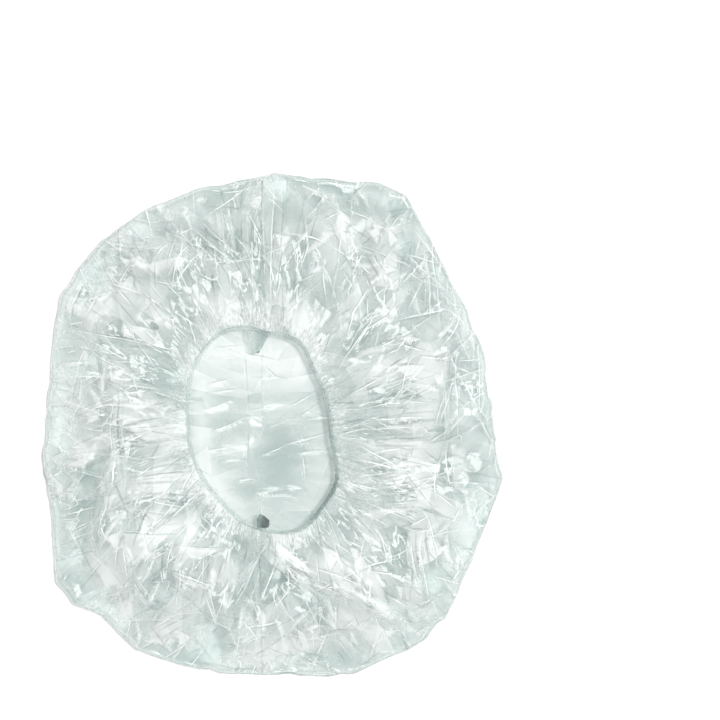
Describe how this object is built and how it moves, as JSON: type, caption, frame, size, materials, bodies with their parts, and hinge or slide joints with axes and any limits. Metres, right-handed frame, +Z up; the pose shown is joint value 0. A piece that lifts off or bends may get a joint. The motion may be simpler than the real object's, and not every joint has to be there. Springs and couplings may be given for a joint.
{
  "type": "shower cap",
  "caption": "Clear film shower cap lying crown down: two welded film panels gathered to an oval mouth by a sprung elastic hem.",
  "frame": {"origin": "on the table under the middle of the lying cap", "axes": "+Z up out of the mouth, +Y to the back end of the seam, the cap's longest way, +X to the right-hand panel"},
  "size_m": [0.194, 0.214, 0.028],
  "materials": {
    "film": "thin clear film with a faint grey-green cast, glossy and crumpled",
    "hem": "folded clear film, several layers, glossy",
    "elastic": "pale translucent elastic strand, matt",
    "weld": "heat-welded film, denser grey-green, pressed"
  },
  "bodies": {
    "seam": {"crown_seam": "weld", "back_tab": "weld", "front_tab": "weld"},
    "left_side": {"left_film": "film", "left_hem": "hem", "left_elastic": "elastic"},
    "right_side": {"right_film": "film", "right_hem": "hem", "right_elastic": "elastic"}
  },
  "joints": [
    {"name": "left_stretch", "type": "slide", "parent": "seam", "child": "left_side", "axis": [-1, 0, 0], "range_m": [0, 0.1], "stiffness_N_per_m": 20},
    {"name": "right_stretch", "type": "slide", "parent": "seam", "child": "right_side", "axis": [1, 0, 0], "range_m": [0, 0.1], "stiffness_N_per_m": 20}
  ],
  "couplings": [
    {"joint": "left_stretch", "follows": "right_stretch", "ratio": 1}
  ]
}
